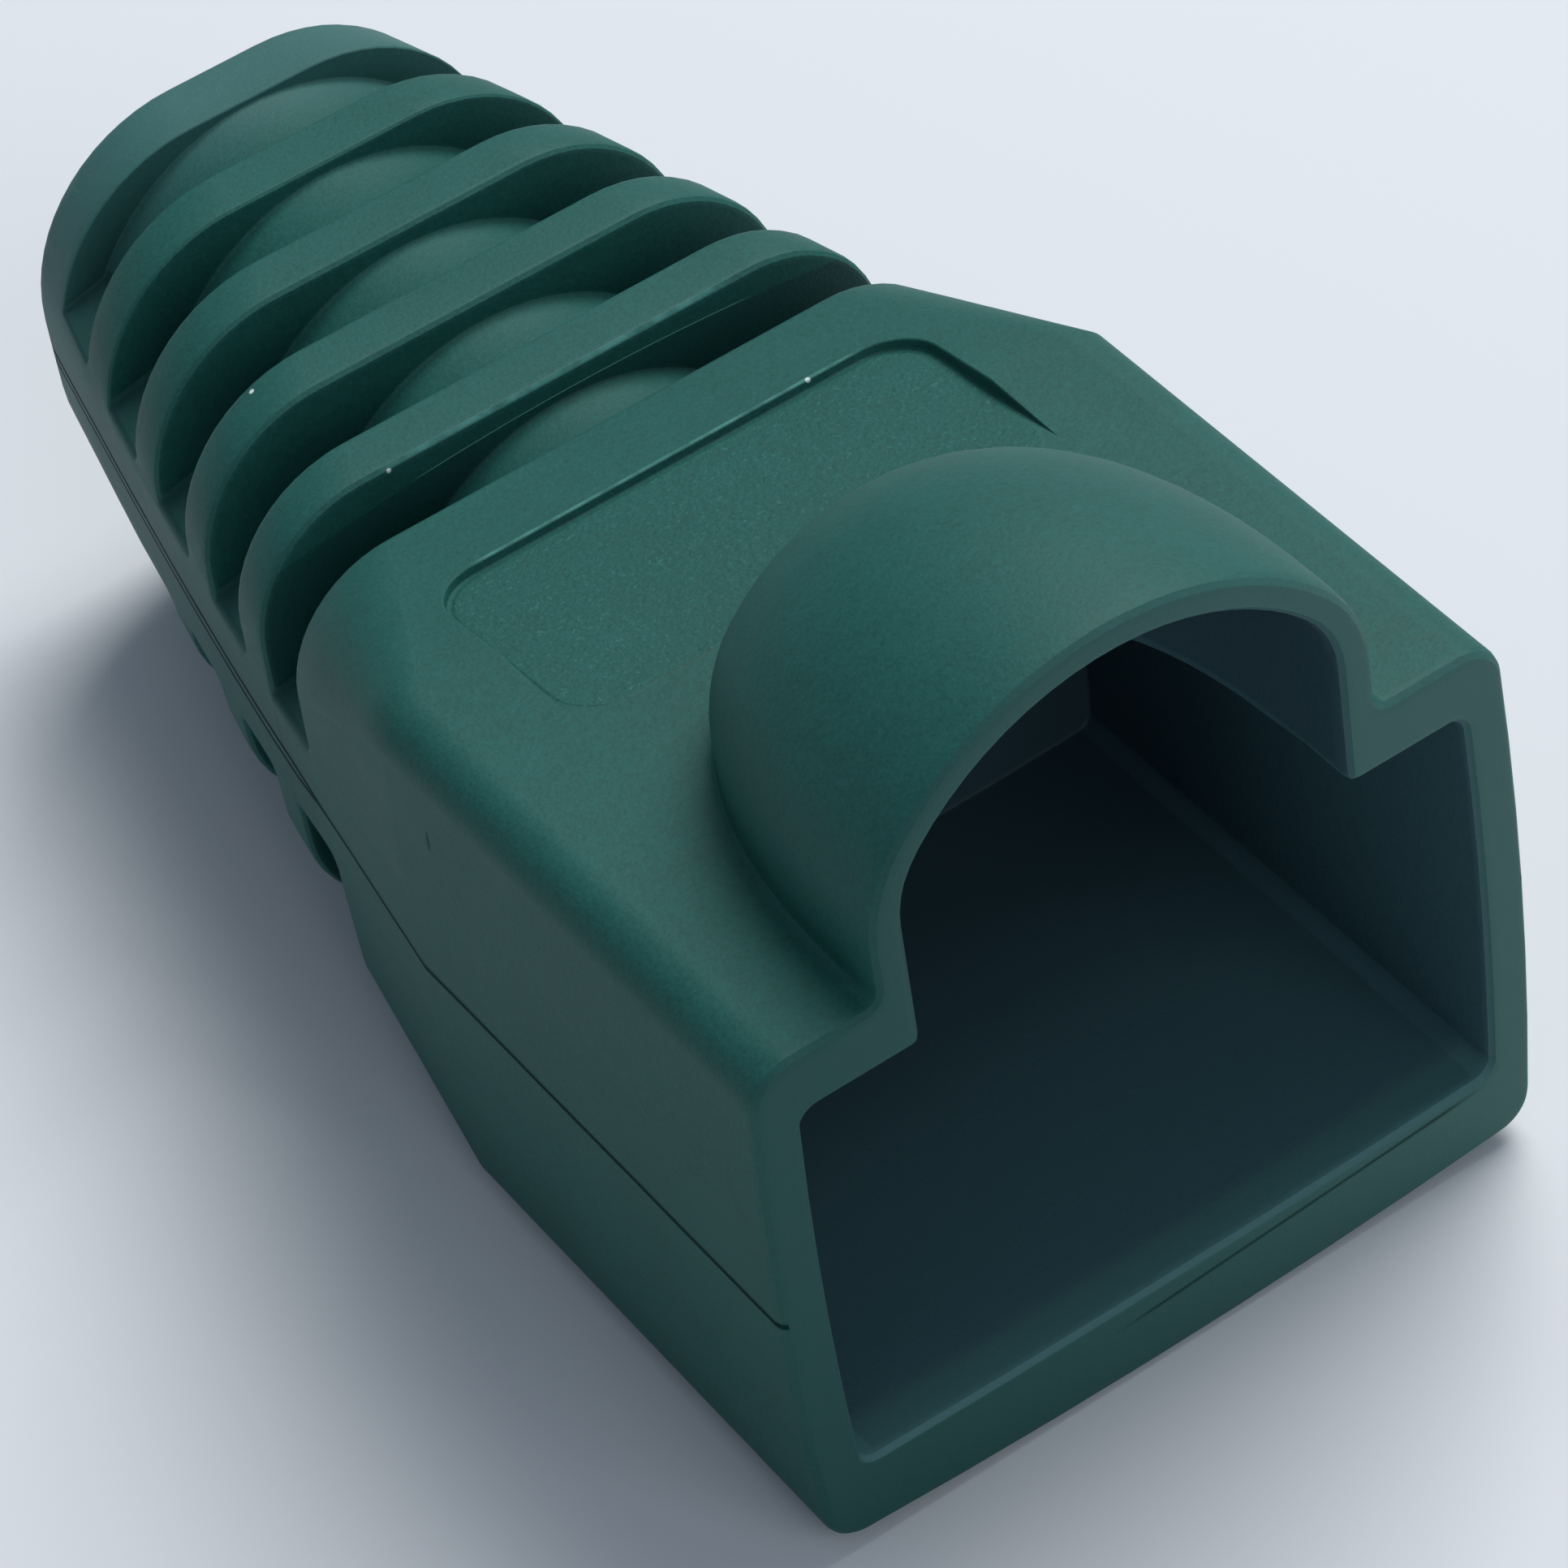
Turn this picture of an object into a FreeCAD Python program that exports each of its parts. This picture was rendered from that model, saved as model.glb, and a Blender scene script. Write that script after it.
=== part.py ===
import FreeCAD, Part
import math
import os

import Sketcher

# Strain relief boot for an eight-way modular network plug, moulded in one piece.
# In the body's own axes X is the width, Y runs from the mouth to the cable exit
# and Z is up, with the parting plane of the two mould halves at Z = 0.
# All lengths are in millimetres.

SIZES = {
    # plug body that the mouth slides over
    "plug_width": 11.68,
    "plug_slack": 0.42,
    # box round the plug
    "side_wall": 0.95,
    "box_height": 10.45,
    "top_wall": 1.23,
    "floor_wall": 1.48,
    "box_length": 9.9,
    "side_crown": 0.2,
    "floor_crown": 0.3,
    "top_corner_radius": 0.8,
    "floor_corner_radius": 0.7,
    "cavity_length": 10.6,
    "cavity_crown": 0.1,
    "cavity_corner_radius": 0.3,
    # taper from the box to the tail
    "neck_station": 14.1,
    "neck_half_width": 6.35,
    "neck_half_height": 4.52,
    "neck_corner_radius": 2.15,
    "neck_floor_radius": 1.0,
    # ribbed tail
    "waist_station": 20.5,
    "waist_half_width": 5.36,
    "waist_half_height": 4.3,
    "waist_corner_radius": 2.85,
    "overall_length": 27.0,
    "exit_half_width": 4.12,
    "exit_half_height": 3.98,
    "exit_corner_radius": 3.25,
    "tail_crown": 0.12,
    "groove_count": 5,
    "groove_width": 1.4,
    "groove_pitch": 2.53,
    "groove_reach": 0.8,
    "core_radius": 3.92,
    "spine_root_half": 2.0,
    "spine_tip_half": 1.0,
    # cable passage
    "cable_radius": 2.85,
    "cable_clearance": 0.15,
    "funnel_radius": 3.85,
    "funnel_length": 3.4,
    # latch hood
    "latch_half_width": 3.6,
    "latch_clearance": 0.3,
    "hood_wall": 0.62,
    "hood_length": 7.2,
    "hood_crown_height": 4.55,
    "hood_spring_height": 1.0,
    "hood_haunch_radius": 2.7,
    "hood_crown_wall": 0.6,
    "hood_rear_wall": 0.75,
    "latch_spring_height": 1.15,
    "latch_haunch_radius": 1.9,
    "dome_power": 2.8,
    "latch_dome_power": 3.2,
    # label recess on the top
    "label_half_width": 4.6,
    "label_rear": 12.25,
    "label_front": 6.0,
    "label_rear_drop": 0.57,
    "label_slope": 7.8,
    "label_corner_radius": 0.9,
    "label_clear_height": 1.5,
    # how far a cut runs past the faces that it opens
    "cut_overrun": 0.6,
}

# angles, in degrees, that space the cross-sections of the domed hood
DOME_ANGLES = (0, 32, 58, 78)

document = FreeCAD.newDocument("strain_relief_boot")


# spreadsheet of the driving sizes
sheet = document.addObject("Spreadsheet::Sheet", "Sizes")
for row, (alias, number) in enumerate(SIZES.items(), start=1):
    sheet.set(f"A{row}", alias)
    sheet.set(f"B{row}", str(number))
    sheet.setAlias(f"B{row}", alias)
document.recompute()

body = document.addObject("PartDesign::Body", "Boot")
body.Label = "boot"


def value_of(formula):
    """Number that a formula of sheet sizes gives; a name in braces is a size."""
    return float(sheet.evalExpression(formula.replace("{", "").replace("}", "")))


def bind(target, path, formula):
    """Tie a property of an object to a formula of sheet sizes."""
    target.setExpression(path, formula.replace("{", "Sizes.").replace("}", ""))


def origin_feature(role):
    """Plane or axis of the body's origin that has the given role."""
    for feature in body.Origin.OriginFeatures:
        if feature.Role == role:
            return feature
    raise ValueError(role)


def new_sketch(name, role):
    """Empty sketch on one of the body's origin planes."""
    sketch = body.newObject("Sketcher::SketchObject", name)
    sketch.AttachmentSupport = (origin_feature(role), [""])
    sketch.MapMode = "FlatFace"
    return sketch


def cross_sketch(name, station):
    """Empty sketch that stands across the length at a station."""
    sketch = new_sketch(name, "XZ_Plane")
    bind(sketch, "AttachmentOffset.Base.z", f"-({station})")
    return sketch


def dimension(sketch, label, kind, *picks, formula):
    """Named dimension of a sketch, tied to a formula of sheet sizes."""
    number = sketch.addConstraint(Sketcher.Constraint(kind, *picks, value_of(formula)))
    sketch.renameConstraint(number, label)
    bind(sketch, f"Constraints.{label}", formula)


def relate(sketch, kind, *picks):
    """Geometric constraint of a sketch."""
    sketch.addConstraint(Sketcher.Constraint(kind, *picks))


def point(across, up):
    """Point in a sketch's own plane."""
    return FreeCAD.Vector(across, up, 0)


def arc(centre, radius, start, end):
    """Arc, counter-clockwise from one point to another, about a centre."""
    first = math.atan2(start.y - centre.y, start.x - centre.x)
    last = math.atan2(end.y - centre.y, end.x - centre.x)
    if last < first:
        last += 2 * math.pi
    circle = Part.Circle(centre, FreeCAD.Vector(0, 0, 1), radius)
    return Part.ArcOfCircle(circle, first, last)


def crown_radius(half_span, crown):
    """Formula of the radius of a wall that bulges by a crown over a half span."""
    return f"((({half_span})^2 + ({crown})^2) / (2 * ({crown})))"


def inner_tangent_centre(first, first_radius, second, second_radius, side, level):
    """Centre of a small circle that lies inside two large ones and touches both."""
    gap = second.sub(first)
    distance = gap.Length
    along = (distance**2 + first_radius**2 - second_radius**2) / (2 * distance)
    aside = math.sqrt(first_radius**2 - along**2)
    unit = FreeCAD.Vector(gap.x / distance, gap.y / distance, 0)
    foot = first.add(unit * along)
    options = [
        foot.add(FreeCAD.Vector(-unit.y, unit.x, 0) * aside),
        foot.add(FreeCAD.Vector(unit.y, -unit.x, 0) * aside),
    ]
    return min(options, key=lambda spot: abs(spot.x - side) + abs(spot.y - level))


def touch(large_centre, large_radius, small_centre):
    """Point where a small circle touches the large one that holds it."""
    away = small_centre.sub(large_centre)
    return large_centre.add(away * (large_radius / away.Length))


def bowed_section(name, station, width, top, floor, radii, crowns):
    """Closed section with a flat top, bowed sides, a bowed floor and round corners.

    width is the half width at the parting plane, top and floor are the distances
    of the flat top and of the lowest point from that plane, radii are those of the
    top and floor corners, and crowns are the bulges of the sides and the floor.
    """
    sketch = cross_sketch(name, station)
    top_corner, floor_corner = radii
    side_crown, floor_crown = crowns
    side_radius = crown_radius(f"({top} + {floor}) / 2", side_crown)
    floor_radius = crown_radius(width, floor_crown)
    half = value_of(width)
    high = value_of(top)
    low = value_of(floor)
    side_r = value_of(side_radius)
    floor_r = value_of(floor_radius)
    top_r = value_of(top_corner)
    low_r = value_of(floor_corner)
    side_centre = point(half - side_r, 0)
    floor_centre = point(0, floor_r - low)
    rise = high - top_r
    top_centre = point(half - side_r + math.sqrt((side_r - top_r) ** 2 - rise**2), rise)
    low_centre = inner_tangent_centre(
        side_centre, side_r - low_r, floor_centre, floor_r - low_r, half, -low
    )
    shoulder = touch(side_centre, side_r, top_centre)
    hip = touch(side_centre, side_r, low_centre)
    heel = touch(floor_centre, floor_r, low_centre)

    def mirror(spot):
        return point(-spot.x, spot.y)

    top_end = point(top_centre.x, high)
    edges = [
        Part.LineSegment(top_end, mirror(top_end)),
        arc(mirror(top_centre), top_r, mirror(top_end), mirror(shoulder)),
        arc(mirror(side_centre), side_r, mirror(shoulder), mirror(hip)),
        arc(mirror(low_centre), low_r, mirror(hip), mirror(heel)),
        arc(floor_centre, floor_r, mirror(heel), heel),
        arc(low_centre, low_r, heel, hip),
        arc(side_centre, side_r, hip, shoulder),
        arc(top_centre, top_r, shoulder, top_end),
    ]
    roof, left_top, left, left_low, sole, right_low, right, right_top = (
        sketch.addGeometry(edge, False) for edge in edges
    )
    ring = [roof, left_top, left, left_low, sole, right_low, right, right_top]
    for here, following in zip(ring, ring[1:] + ring[:1]):
        relate(sketch, "Tangent", here, 2, following, 1)
    relate(sketch, "Horizontal", roof)
    relate(sketch, "PointOnObject", left, 3, -1)
    relate(sketch, "PointOnObject", right, 3, -1)
    relate(sketch, "PointOnObject", sole, 3, -2)
    dimension(sketch, "top", "DistanceY", -1, 1, roof, 1, formula=top)
    side_offset = f"({side_radius} - {width})"
    dimension(sketch, "left_centre", "DistanceX", -1, 1, left, 3, formula=side_offset)
    dimension(sketch, "right_centre", "DistanceX", right, 3, -1, 1, formula=side_offset)
    dimension(sketch, "left_side", "Radius", left, formula=side_radius)
    dimension(sketch, "right_side", "Radius", right, formula=side_radius)
    floor_offset = f"({floor_radius} - {floor})"
    dimension(sketch, "floor_centre", "DistanceY", -1, 1, sole, 3, formula=floor_offset)
    dimension(sketch, "floor_bow", "Radius", sole, formula=floor_radius)
    dimension(sketch, "left_top", "Radius", left_top, formula=top_corner)
    dimension(sketch, "right_top", "Radius", right_top, formula=top_corner)
    dimension(sketch, "left_low", "Radius", left_low, formula=floor_corner)
    dimension(sketch, "right_low", "Radius", right_low, formula=floor_corner)
    return sketch


def arch_section(name, station, width, base, springing, apex, haunch):
    """Closed section of an arch: a base, two legs, two haunch arcs and a crown arc."""
    sketch = cross_sketch(name, station)
    rise = f"({apex} - ({springing}))"
    inset = f"({width} - {haunch})"
    crown = f"(({inset}^2 + {rise}^2 - ({haunch})^2) / (2 * ({rise} - {haunch})))"
    half = value_of(width)
    low = value_of(base)
    spring = value_of(springing)
    haunch_r = value_of(haunch)
    crown_r = value_of(crown)
    crown_centre = point(0, value_of(apex) - crown_r)
    right_centre = point(half - haunch_r, spring)
    left_centre = point(haunch_r - half, spring)
    right_joint = touch(crown_centre, crown_r, right_centre)
    left_joint = touch(crown_centre, crown_r, left_centre)
    edges = [
        Part.LineSegment(point(-half, low), point(half, low)),
        Part.LineSegment(point(half, low), point(half, spring)),
        arc(right_centre, haunch_r, point(half, spring), right_joint),
        arc(crown_centre, crown_r, right_joint, left_joint),
        arc(left_centre, haunch_r, left_joint, point(-half, spring)),
        Part.LineSegment(point(-half, spring), point(-half, low)),
    ]
    foot, right_leg, right, top, left, left_leg = (
        sketch.addGeometry(edge, False) for edge in edges
    )
    relate(sketch, "Coincident", foot, 2, right_leg, 1)
    relate(sketch, "Tangent", right_leg, 2, right, 1)
    relate(sketch, "Tangent", right, 2, top, 1)
    relate(sketch, "Tangent", top, 2, left, 1)
    relate(sketch, "Tangent", left, 2, left_leg, 1)
    relate(sketch, "Coincident", left_leg, 2, foot, 1)
    relate(sketch, "Horizontal", foot)
    relate(sketch, "Vertical", right_leg)
    relate(sketch, "Vertical", left_leg)
    relate(sketch, "PointOnObject", top, 3, -2)
    dimension(sketch, "base", "DistanceY", -1, 1, foot, 1, formula=base)
    dimension(sketch, "right_half", "DistanceX", -1, 1, foot, 2, formula=width)
    dimension(sketch, "left_half", "DistanceX", foot, 1, -1, 1, formula=width)
    dimension(sketch, "springing", "DistanceY", -1, 1, right, 3, formula=springing)
    dimension(sketch, "right_haunch", "Radius", right, formula=haunch)
    dimension(sketch, "left_haunch", "Radius", left, formula=haunch)
    dimension(sketch, "crown", "Radius", top, formula=crown)
    return sketch


def loft(kind, name, sketches, ruled):
    """Additive or subtractive loft through sketches."""
    feature = body.newObject(f"PartDesign::{kind}Loft", name)
    feature.Profile = sketches[0]
    feature.Sections = sketches[1:]
    feature.Ruled = ruled
    document.recompute()
    return feature


# box round the plug body
BOX_HALF_WIDTH = "({plug_width} / 2 + {plug_slack} / 2 + {side_wall})"
BOX_TOP = "({box_height} / 2)"
BOX_FLOOR = "({box_height} / 2 + {floor_crown})"
BOX_RADII = ("{top_corner_radius}", "{floor_corner_radius}")
BOX_CROWNS = ("{side_crown}", "{floor_crown}")

mouth_sketch = bowed_section(
    "MouthSection", "0", BOX_HALF_WIDTH, BOX_TOP, BOX_FLOOR, BOX_RADII, BOX_CROWNS
)
box = body.newObject("PartDesign::Pad", "Box")
box.Profile = mouth_sketch
box.Reversed = True
bind(box, "Length", "{box_length}")
document.recompute()

# taper from the box to the neck of the tail
shoulder_sketch = bowed_section(
    "ShoulderSection",
    "{box_length}",
    BOX_HALF_WIDTH,
    BOX_TOP,
    BOX_FLOOR,
    BOX_RADII,
    BOX_CROWNS,
)


def tail_section(name, station, half_width, half_height, radii):
    """Rounded cross-section of the tail's envelope."""
    return bowed_section(
        name,
        station,
        half_width,
        half_height,
        half_height,
        radii,
        ("{tail_crown}", "{tail_crown}"),
    )


neck_sketch = tail_section(
    "NeckSection",
    "{neck_station}",
    "{neck_half_width}",
    "{neck_half_height}",
    ("{neck_corner_radius}", "{neck_floor_radius}"),
)
taper = loft("Additive", "Taper", [shoulder_sketch, neck_sketch], True)

# envelope of the ribbed tail
tail_start_sketch = tail_section(
    "TailStartSection",
    "{neck_station}",
    "{neck_half_width}",
    "{neck_half_height}",
    ("{neck_corner_radius}", "{neck_corner_radius}"),
)
waist_sketch = tail_section(
    "WaistSection",
    "{waist_station}",
    "{waist_half_width}",
    "{waist_half_height}",
    ("{waist_corner_radius}", "{waist_corner_radius}"),
)
exit_sketch = tail_section(
    "ExitSection",
    "{overall_length}",
    "{exit_half_width}",
    "{exit_half_height}",
    ("{exit_corner_radius}", "{exit_corner_radius}"),
)
tail = loft("Additive", "Tail", [tail_start_sketch, waist_sketch, exit_sketch], False)


# grooves between the ribs, which leave a round core and a spine on each side
def groove_profile(sketch, side):
    """Closed outline of a groove over (side 1) or under (side -1) the core."""
    mark = "upper" if side > 0 else "lower"
    reach = "({neck_half_width} + {groove_reach})"
    height = "({neck_half_height} + {groove_reach})"
    root = "{spine_root_half}"
    foot = "sqrt({core_radius}^2 - {spine_root_half}^2)"
    far = value_of(reach)
    tip = side * value_of("{spine_tip_half}")
    roof = side * value_of(height)
    near = value_of(foot)
    level = side * value_of(root)
    radius = value_of("{core_radius}")
    right_start, right_end = (near, -near) if side > 0 else (-near, near)
    corners = [
        point(right_end, level),
        point(math.copysign(far, right_end), tip),
        point(math.copysign(far, right_end), roof),
        point(math.copysign(far, right_start), roof),
        point(math.copysign(far, right_start), tip),
        point(right_start, level),
    ]
    lines = [
        sketch.addGeometry(Part.LineSegment(a, b), False)
        for a, b in zip(corners, corners[1:])
    ]
    core = sketch.addGeometry(
        arc(point(0, 0), radius, point(right_start, level), point(right_end, level)),
        False,
    )
    for here, following in zip(lines, lines[1:]):
        relate(sketch, "Coincident", here, 2, following, 1)
    relate(sketch, "Coincident", lines[-1], 2, core, 1)
    relate(sketch, "Coincident", core, 2, lines[0], 1)
    relate(sketch, "Coincident", core, 3, -1, 1)
    relate(sketch, "Vertical", lines[1])
    relate(sketch, "Horizontal", lines[2])
    relate(sketch, "Vertical", lines[3])
    dimension(sketch, f"{mark}_core", "Radius", core, formula="{core_radius}")

    def upright(label, line, end, formula):
        """Height of a line's end above or below the parting plane."""
        picks = (-1, 1, line, end) if side > 0 else (line, end, -1, 1)
        dimension(sketch, f"{mark}_{label}", "DistanceY", *picks, formula=formula)

    def sideways(label, line, end, formula):
        """Distance of a line's end from the middle plane."""
        spot = sketch.getPoint(line, end)
        picks = (-1, 1, line, end) if spot.x > 0 else (line, end, -1, 1)
        dimension(sketch, f"{mark}_{label}", "DistanceX", *picks, formula=formula)

    upright("root_a", lines[0], 1, root)
    upright("root_b", lines[4], 2, root)
    upright("tip_a", lines[0], 2, "{spine_tip_half}")
    upright("tip_b", lines[4], 1, "{spine_tip_half}")
    upright("roof", lines[2], 1, height)
    sideways("far_a", lines[0], 2, reach)
    sideways("far_b", lines[4], 1, reach)


groove_sketch = cross_sketch("GrooveSection", "{neck_station}")
groove_profile(groove_sketch, 1)
groove_profile(groove_sketch, -1)
groove = body.newObject("PartDesign::Pocket", "TailGroove")
groove.Profile = groove_sketch
bind(groove, "Length", "{groove_width}")
document.recompute()

grooves = body.newObject("PartDesign::LinearPattern", "TailGrooves")
grooves.Originals = [groove]
grooves.Direction = (origin_feature("Y_Axis"), [""])
bind(grooves, "Length", "{groove_pitch} * ({groove_count} - 1)")
bind(grooves, "Occurrences", "{groove_count}")
body.Tip = grooves
document.recompute()

# label recess, a sloping floor that fades out towards the hood
label_sketch = new_sketch("LabelSection", "XY_Plane")
label_sketch.AttachmentOffset = FreeCAD.Placement(
    FreeCAD.Vector(0, 0, 0), FreeCAD.Rotation(FreeCAD.Vector(-1, 0, 0), 1)
)
bind(label_sketch, "AttachmentOffset.Rotation.Angle", "{label_slope}")
bind(label_sketch, "AttachmentOffset.Base.y", "{label_rear}")
bind(label_sketch, "AttachmentOffset.Base.z", f"{BOX_TOP} - {{label_rear_drop}}")
label_half = value_of("{label_half_width}")
label_back = value_of("{label_rear} - {label_front}")
label_round = value_of("{label_corner_radius}")
right_round = point(label_half - label_round, -label_round)
left_round = point(label_round - label_half, -label_round)
label_edges = [
    Part.LineSegment(point(-label_half, -label_back), point(label_half, -label_back)),
    Part.LineSegment(point(label_half, -label_back), point(label_half, -label_round)),
    arc(right_round, label_round, point(label_half, -label_round), point(right_round.x, 0)),
    Part.LineSegment(point(right_round.x, 0), point(left_round.x, 0)),
    arc(left_round, label_round, point(left_round.x, 0), point(-label_half, -label_round)),
    Part.LineSegment(point(-label_half, -label_round), point(-label_half, -label_back)),
]
front, right_side, right_corner, rear, left_corner, left_side = (
    label_sketch.addGeometry(edge, False) for edge in label_edges
)
relate(label_sketch, "Coincident", front, 2, right_side, 1)
relate(label_sketch, "Tangent", right_side, 2, right_corner, 1)
relate(label_sketch, "Tangent", right_corner, 2, rear, 1)
relate(label_sketch, "Tangent", rear, 2, left_corner, 1)
relate(label_sketch, "Tangent", left_corner, 2, left_side, 1)
relate(label_sketch, "Coincident", left_side, 2, front, 1)
relate(label_sketch, "Horizontal", front)
relate(label_sketch, "Horizontal", rear)
relate(label_sketch, "Vertical", right_side)
relate(label_sketch, "Vertical", left_side)
relate(label_sketch, "PointOnObject", rear, 1, -1)
dimension(
    label_sketch, "right_half", "DistanceX", -1, 1, front, 2, formula="{label_half_width}"
)
dimension(
    label_sketch, "left_half", "DistanceX", front, 1, -1, 1, formula="{label_half_width}"
)
dimension(
    label_sketch,
    "reach",
    "DistanceY",
    front,
    1,
    -1,
    1,
    formula="{label_rear} - {label_front}",
)
dimension(
    label_sketch, "right_round", "Radius", right_corner, formula="{label_corner_radius}"
)
dimension(
    label_sketch, "left_round", "Radius", left_corner, formula="{label_corner_radius}"
)
label = body.newObject("PartDesign::Pocket", "LabelRecess")
label.Profile = label_sketch
label.Reversed = True
bind(label, "Length", "{label_clear_height}")
document.recompute()


# domed hood over the plug's latch
LATCH_HALF_WIDTH = "({latch_half_width} + {latch_clearance})"
HOOD_HALF_WIDTH = "({latch_half_width} + {latch_clearance} + {hood_wall})"
CEILING = "({box_height} / 2 - {top_wall})"


def dome(kind, name, width, base, length, springing, apex, haunch, power):
    """Loft of arches that shrink along the length as a dome does."""
    sketches = []
    for number, angle in enumerate(DOME_ANGLES):
        share = f"pow(cos({angle} deg); 2 / {power})"
        station = f"{length} * pow(sin({angle} deg); 2 / {power})"
        sketches.append(
            arch_section(
                f"{name}Arch{number}",
                station,
                f"({width} * {share})",
                base,
                f"({BOX_TOP} + {springing} * {share})",
                f"({BOX_TOP} + {apex} * {share})",
                f"({haunch} * {share})",
            )
        )
    return loft(kind, name, sketches, False)


hood = dome(
    "Additive",
    "Hood",
    HOOD_HALF_WIDTH,
    "({box_height} / 2 - {top_wall} / 2)",
    "{hood_length}",
    "{hood_spring_height}",
    "{hood_crown_height}",
    "{hood_haunch_radius}",
    "{dome_power}",
)

# plug cavity, open at the mouth
cavity_sketch = bowed_section(
    "CavitySection",
    "0",
    "({plug_width} / 2 + {plug_slack} / 2 + {cavity_crown})",
    CEILING,
    "({box_height} / 2 - {floor_wall} + {cavity_crown})",
    ("{cavity_corner_radius}", "{cavity_corner_radius}"),
    ("{cavity_crown}", "{cavity_crown}"),
)
cavity = body.newObject("PartDesign::Pocket", "PlugCavity")
cavity.Profile = cavity_sketch
bind(cavity, "Length", "{cavity_length}")
document.recompute()

# latch space under the hood
latch_space = dome(
    "Subtractive",
    "LatchSpace",
    LATCH_HALF_WIDTH,
    f"({CEILING} - {{cut_overrun}})",
    "({hood_length} - {hood_rear_wall})",
    "{latch_spring_height}",
    "({hood_crown_height} - {hood_crown_wall})",
    "{latch_haunch_radius}",
    "{latch_dome_power}",
)

# cable passage, a funnel and a bore
passage_sketch = new_sketch("PassageSection", "YZ_Plane")
BORE_RADIUS = "({cable_radius} + {cable_clearance})"
passage_start = value_of("{cavity_length}")
passage_narrow = value_of("{cavity_length} + {funnel_length}")
passage_end = value_of("{overall_length} + {cut_overrun}")
bore = value_of(BORE_RADIUS)
funnel = value_of("{funnel_radius}")
passage_points = [
    point(passage_start, 0),
    point(passage_end, 0),
    point(passage_end, bore),
    point(passage_narrow, bore),
    point(passage_start, funnel),
]
axis_line, end_line, bore_line, funnel_line, start_line = (
    passage_sketch.addGeometry(Part.LineSegment(here, following), False)
    for here, following in zip(passage_points, passage_points[1:] + passage_points[:1])
)
outline = [axis_line, end_line, bore_line, funnel_line, start_line]
for here, following in zip(outline, outline[1:] + outline[:1]):
    relate(passage_sketch, "Coincident", here, 2, following, 1)
relate(passage_sketch, "PointOnObject", axis_line, 1, -1)
relate(passage_sketch, "Horizontal", axis_line)
relate(passage_sketch, "Vertical", end_line)
relate(passage_sketch, "Horizontal", bore_line)
relate(passage_sketch, "Vertical", start_line)
dimension(
    passage_sketch, "start", "DistanceX", -1, 1, axis_line, 1, formula="{cavity_length}"
)
dimension(
    passage_sketch,
    "finish",
    "DistanceX",
    -1,
    1,
    axis_line,
    2,
    formula="{overall_length} + {cut_overrun}",
)
dimension(
    passage_sketch,
    "narrow",
    "DistanceX",
    axis_line,
    1,
    bore_line,
    2,
    formula="{funnel_length}",
)
dimension(passage_sketch, "bore", "DistanceY", -1, 1, bore_line, 1, formula=BORE_RADIUS)
dimension(
    passage_sketch, "mouth", "DistanceY", -1, 1, funnel_line, 2, formula="{funnel_radius}"
)
passage = body.newObject("PartDesign::Groove", "CablePassage")
passage.Profile = passage_sketch
passage.ReferenceAxis = (passage_sketch, ["H_Axis"])
passage.Angle = 360
document.recompute()

# stand the boot on its floor, with the origin under the middle of its length
bind(body, "Placement.Base.y", "-({overall_length} / 2)")
bind(body, "Placement.Base.z", BOX_FLOOR)
document.recompute()

for item in document.Objects:
    if "Invalid" in item.State or "Error" in item.State:
        raise RuntimeError(f"{item.Label} failed to build")
if body.Shape.isNull() or not body.Shape.isValid():
    raise RuntimeError("the boot has no valid shape")

os.makedirs("parts", exist_ok=True)
body.Shape.exportStep(f"parts/{body.Label}.step")
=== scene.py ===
"""Looks of a strain relief boot: one soft moulding with its seam, grain and light."""

import logging
import math
from dataclasses import dataclass, field
from enum import Enum
from typing import Callable, Sequence, Union

import bpy
from mathutils import Matrix, Vector


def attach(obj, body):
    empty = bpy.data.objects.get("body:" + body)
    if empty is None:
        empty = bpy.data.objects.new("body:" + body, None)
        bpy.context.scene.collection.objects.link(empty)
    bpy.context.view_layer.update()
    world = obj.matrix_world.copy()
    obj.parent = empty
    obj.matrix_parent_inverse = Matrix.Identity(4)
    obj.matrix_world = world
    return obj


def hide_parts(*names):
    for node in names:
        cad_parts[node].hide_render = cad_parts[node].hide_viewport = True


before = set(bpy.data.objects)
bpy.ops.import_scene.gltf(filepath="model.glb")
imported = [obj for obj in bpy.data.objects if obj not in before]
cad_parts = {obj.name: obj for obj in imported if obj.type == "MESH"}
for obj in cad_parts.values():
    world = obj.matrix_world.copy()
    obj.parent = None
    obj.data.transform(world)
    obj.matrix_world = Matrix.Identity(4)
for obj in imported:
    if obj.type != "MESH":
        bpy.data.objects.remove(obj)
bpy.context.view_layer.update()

LOG = logging.getLogger("boot")
MILLIMETRE = 0.001
PARTING_LEVEL = 5.525
MOUTH_STATION = -13.5

Colour = tuple[float, float, float]
Point = tuple[float, float, float]
Socket = bpy.types.NodeSocket
Value = Union[float, Sequence[float], Socket]


class Plane(Enum):
    """Component of a vector that a pattern is measured along."""

    ACROSS = "X"
    ALONG = "Y"
    UP = "Z"


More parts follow.
